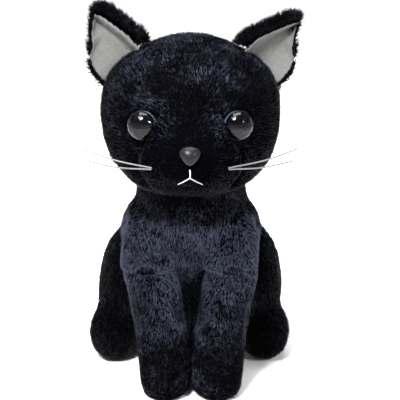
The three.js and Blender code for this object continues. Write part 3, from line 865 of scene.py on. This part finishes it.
for side, sign in SIDES.items():
    up_ear = towards((sign * 0.45, 0, 1))
    outer_leaf = ear_leaf(side, "outer", BACKING)
    fringe = lambda p, n: 1.0 + 0.5 * (1 - fade(ear_edge(outer_leaf, p), 0.5 * MM, 3 * MM))
    outer_pile = pile(f"ear_{side}_outer_pile", outer_leaf, 3.0, EAR_PILE, up_ear, lay=0.45, rough=0.4,
                      keep=fringe, seed=81, painted_light=even(0.1))
    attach(outer_pile, f"ear_{side}")
    lining_leaf = ear_leaf(side, "lining", FLEECE_BACKING)
    lining_pile = pile(f"ear_{side}_lining_pile", lining_leaf, 4.0, FLEECE_PILE, up_ear, width=0.36, lay=0.5,
                       look=FLEECE, seed=91)
    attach(lining_pile, f"ear_{side}")


# ---------------------------------------------------------------- eyes, nose, mouth and whiskers
def ring_faces(rings, steps):
    """The faces of a closed form: one point, then rings of points, then one point."""
    faces = [(0, 1 + (k + 1) % steps, 1 + k) for k in range(steps)]
    for ring in range(rings - 1):
        low = 1 + ring * steps
        for k in range(steps):
            after = (k + 1) % steps
            faces.append((low + k, low + after, low + steps + after, low + steps + k))
    top, last = 1 + rings * steps, 1 + (rings - 1) * steps
    return faces + [(top, last + k, last + (k + 1) % steps) for k in range(steps)]


def turned(name, profile, steps=48):
    """A turned piece about its own +Z: the profile is (radius, height) pairs from the bottom to the top."""
    points = [(0, 0, profile[0][1])]
    for radius, height in profile[1:-1]:
        for k in range(steps):
            angle = 2 * math.pi * k / steps
            points.append((radius * math.cos(angle), radius * math.sin(angle), height))
    points.append((0, 0, profile[-1][1]))
    return mesh_from(name, points, ring_faces(len(profile) - 2, steps))


def smooth_spot(line, index, t):
    """A point on a smooth curve through the points of a line, between one of them and the next."""
    a, b = line[max(index - 1, 0)], line[index]
    c, d = line[index + 1], line[min(index + 2, len(line) - 1)]
    square = 2 * a - 5 * b + 4 * c - d
    cube = 3 * b - a - 3 * c + d
    return 0.5 * (2 * b + (c - a) * t + square * t**2 + cube * t**3)


def tube(name, line, radii, steps=8, rings=24):
    """A round thread along a smooth line through a few points. radii are its radius at each of them."""
    line = np.array(line)
    spots, thick = [], []
    for stop in np.linspace(0, len(line) - 1, rings):
        index = min(int(stop), len(line) - 2)
        t = stop - index
        spots.append(smooth_spot(line, index, t))
        thick.append(radii[index] * (1 - t) + radii[index + 1] * t)
    spots = np.array(spots)
    along = unit(np.gradient(spots, axis=0))
    side = unit(np.cross(along, (0.2, 1.0, 0.1)))
    other = np.cross(along, side)
    points = [spots[0] - along[0] * thick[0] * 0.6]
    for spot, a, b, radius in zip(spots, side, other, thick):
        for k in range(steps):
            angle = 2 * math.pi * k / steps
            points.append(spot + (math.cos(angle) * a + math.sin(angle) * b) * radius)
    points.append(spots[-1] + along[-1] * thick[-1] * 0.6)
    return mesh_from(name, points, ring_faces(rings, steps))


def ends_of(node, axis):
    """The low end, the middle and the high end of a thread, along one axis."""
    points = coords(frame["nodes"][node].data)
    points = points[np.argsort(points[:, axis])]
    few = max(3, len(points) // 6)
    half = len(points) // 2
    groups = points[:few], points[half - few // 2:half + few // 2 + 1], points[-few:]
    return [group.mean(axis=0) for group in groups]


def fitted(thing, look, body, slot, *nodes):
    thing.data.materials.clear()
    thing.data.materials.append(look)
    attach(thing, body)
    if nodes:
        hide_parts(*nodes)
    return thing


CLEAR = material("eye_clear", (1, 1, 1), 0.02, Transmission_Weight=1.0, IOR=1.31)
PUPIL = speckled(
    "eye_pupil", (0.001, 0.001, 0.0015), (0.002, 0.002, 0.003), 0.5, 400, 0.02, Specular_IOR_Level=0.0
)
IRIS = speckled(
    "eye_iris", (0.04, 0.065, 0.09), (0.08, 0.12, 0.16), 0.35, 1800, bump=0.1, Specular_IOR_Level=0.1
)
NOSE_LOOK = speckled(
    "nose_satin", (0.006, 0.0057, 0.0075), (0.009, 0.0086, 0.011), 0.32, 2500, bump=0.05,
    Specular_IOR_Level=0.12
)
THREAD = speckled("white_thread", (0.30, 0.30, 0.31), (0.50, 0.50, 0.51), 0.7, 3000)
NYLON = speckled("whisker_nylon", (0.06, 0.06, 0.062), (0.09, 0.09, 0.093), 0.35, 900, bump=0.05)

for side, seat in eye_seats.items():
    arc = np.linspace(0, 1.45, 14)
    dome = [(EYE_RADIUS * math.cos(a), EYE_WALL + EYE_BULGE * math.sin(a)) for a in arc]
    lens = turned(f"eye_{side}_dome", [(0, 0), (EYE_RADIUS, 0), *dome, (0, EYE_WALL + EYE_BULGE)])
    rim, pupil = EYE_RADIUS * RING_SHARE, EYE_RADIUS * PUPIL_SHARE
    ring_foot, pupil_top = -1.4 * MM, EYE_DISC + 0.15 * MM
    ring = turned(f"eye_{side}_ring", [(0, ring_foot), (rim, ring_foot), (rim, EYE_DISC), (0, EYE_DISC)])
    black = turned(f"eye_{side}_pupil", [(0, 0), (pupil, 0), (pupil, pupil_top), (0, pupil_top)])
    for thing in (lens, ring, black):
        thing.data.transform(seat)
    fitted(lens, CLEAR, "head", "eye_clear", f"eye_{side}_lens")
    fitted(ring, IRIS, "head", "eye_black", f"eye_{side}_iris")
    fitted(black, PUPIL, "head", "eye_black")

nose = form_from("nose_button", ["nose"], 0.7 * MM, 10)
nose.data.shade_smooth()
fitted(nose, NOSE_LOOK, "head", "nose_plastic", "nose")


def stitched(node, spots, radii):
    line = [on_front(head_tree, x, z, MOUTH_LIFT) for x, z in spots]
    fitted(tube(f"{node}_thread", line, radii), THREAD, "head", "white_thread", node)


low, _, high = ends_of("mouth_stitch_centre", 2)
centre_line = [(0, high[2] + MOUTH_TOP), (0, (low[2] + high[2]) / 2), (0, low[2] - MOUTH_FOOT)]
stitched("mouth_stitch_centre", centre_line, MOUTH_RADII)
for side, sign in SIDES.items():
    node = f"mouth_stitch_{side}"
    end = ends_of(node, 0)[1 + int(sign)]
    fork, foot = low[2] - MOUTH_FORK, end[2] - ARM_DROP
    stitched(node, [(0, fork), (end[0] * 0.5, (fork + foot) / 2 - ARM_SAG), (end[0], foot)], MOUTH_ARM_RADII)

for side, sign in SIDES.items():
    for place in ("upper", "lower"):
        node = f"whisker_{side}_{place}"
        line = ends_of(node, 0)[::int(sign)]
        line = [line[0] - WHISKER_ROOT * (line[1] - line[0]), *line]
        fitted(tube(f"{node}_hair", line, WHISKER_RADII), NYLON, "head", "whisker_nylon", node)

# ---------------------------------------------------------------- the neck's drawstring, under the pile
ring_low, ring_high = box_of(["neck_thread"])
bpy.ops.mesh.primitive_torus_add(
    major_radius=(ring_high[0] - ring_low[0]) / 2 - DRAWSTRING_IN,
    minor_radius=DRAWSTRING_RADIUS,
    major_segments=96,
    minor_segments=8,
    location=(ring_low + ring_high) / 2,
)
drawstring = bpy.context.object
drawstring.name = drawstring.data.name = "neck_drawstring"
drawstring.data.transform(drawstring.matrix_world)
drawstring.matrix_world = Matrix.Identity(4)
drawstring.data.shade_smooth()
DARK = speckled(
    "dark_thread", (0.004, 0.004, 0.006), (0.010, 0.010, 0.014), 0.8, 3000, Specular_IOR_Level=0.1
)
fitted(drawstring, DARK, "neck", "dark_thread", "neck_thread")

# ---------------------------------------------------------------- hidden pieces that stay as in the frame
PLASTIC = speckled("washer_plastic", (0.70, 0.70, 0.71), (0.80, 0.80, 0.81), 0.45, 700, bump=0.1)
BAG = speckled("bag_cloth", (0.55, 0.52, 0.45), (0.68, 0.65, 0.58), 0.9, 1600)
for node, thing in frame["nodes"].items():
    for word, look in (("washer", PLASTIC), ("pellet_bag", BAG)):
        if word in node:
            thing.data.materials.clear()
            thing.data.materials.append(look)

# ---------------------------------------------------------------- stage
floor = mesh_from("floor", [(-3, -3, 0), (3, -3, 0), (3, 3, 0), (-3, 3, 0)], [(0, 1, 2, 3)], smooth=False)
floor.data.materials.append(material("floor", (0.93, 0.93, 0.93), 0.9))


def studio_sky():
    """White near the horizon, and dim above it so that the plush stays black."""
    world = bpy.data.worlds.new("studio")
    bpy.context.scene.world = world
    world.use_nodes = True
    sky = world.node_tree
    place = sky.nodes.new("ShaderNodeTexCoord")
    height = sky.nodes.new("ShaderNodeSeparateXYZ")
    shades = sky.nodes.new("ShaderNodeValToRGB")
    horizon, above = shades.color_ramp.elements
    horizon.position, horizon.color = 0.16, (1, 1, 1, 1)
    above.position, above.color = 0.34, (0.22, 0.22, 0.24, 1)
    sky.links.new(place.outputs["Generated"], height.inputs["Vector"])
    sky.links.new(height.outputs["Z"], shades.inputs["Fac"])
    sky.links.new(shades.outputs["Color"], sky.nodes["Background"].inputs["Color"])


def softbox(name, place, size, power):
    """A lamp of a width and a height, aimed at the middle of the cat."""
    lamp = bpy.data.lights.new(name, "AREA")
    lamp.shape = "RECTANGLE"
    lamp.size, lamp.size_y = size
    lamp.energy = power
    made = add_object(name, lamp)
    made.location = place
    made.rotation_euler = (Vector((0, 0, 0.12)) - Vector(place)).to_track_quat("-Z", "Y").to_euler()


studio_sky()
softbox("key", (-0.25, -0.60, 0.90), (0.24, 0.18), 25)
softbox("fill", (0.60, -0.6, 0.60), (0.14, 0.14), 5)
softbox("top", (0.0, 0.1, 1.0), (0.6, 0.6), 10)
daylight = bpy.data.lights.new("daylight", "SUN")
daylight.energy, daylight.angle = 3.2, math.radians(30)
add_object("daylight", daylight).rotation_euler = Vector((-0.42, -0.52, 1)).to_track_quat("Z", "Y").to_euler()

camera = add_object("camera", bpy.data.cameras.new("camera"))
bpy.context.scene.camera = camera
camera.data.lens = FOCAL
camera.data.sensor_width = 36
camera.location = TARGET + DISTANCE * Vector((0, -math.cos(ELEVATION), math.sin(ELEVATION)))
camera.rotation_euler = (TARGET - camera.location).to_track_quat("-Z", "Y").to_euler()
bpy.context.scene.view_settings.view_transform = "Standard"
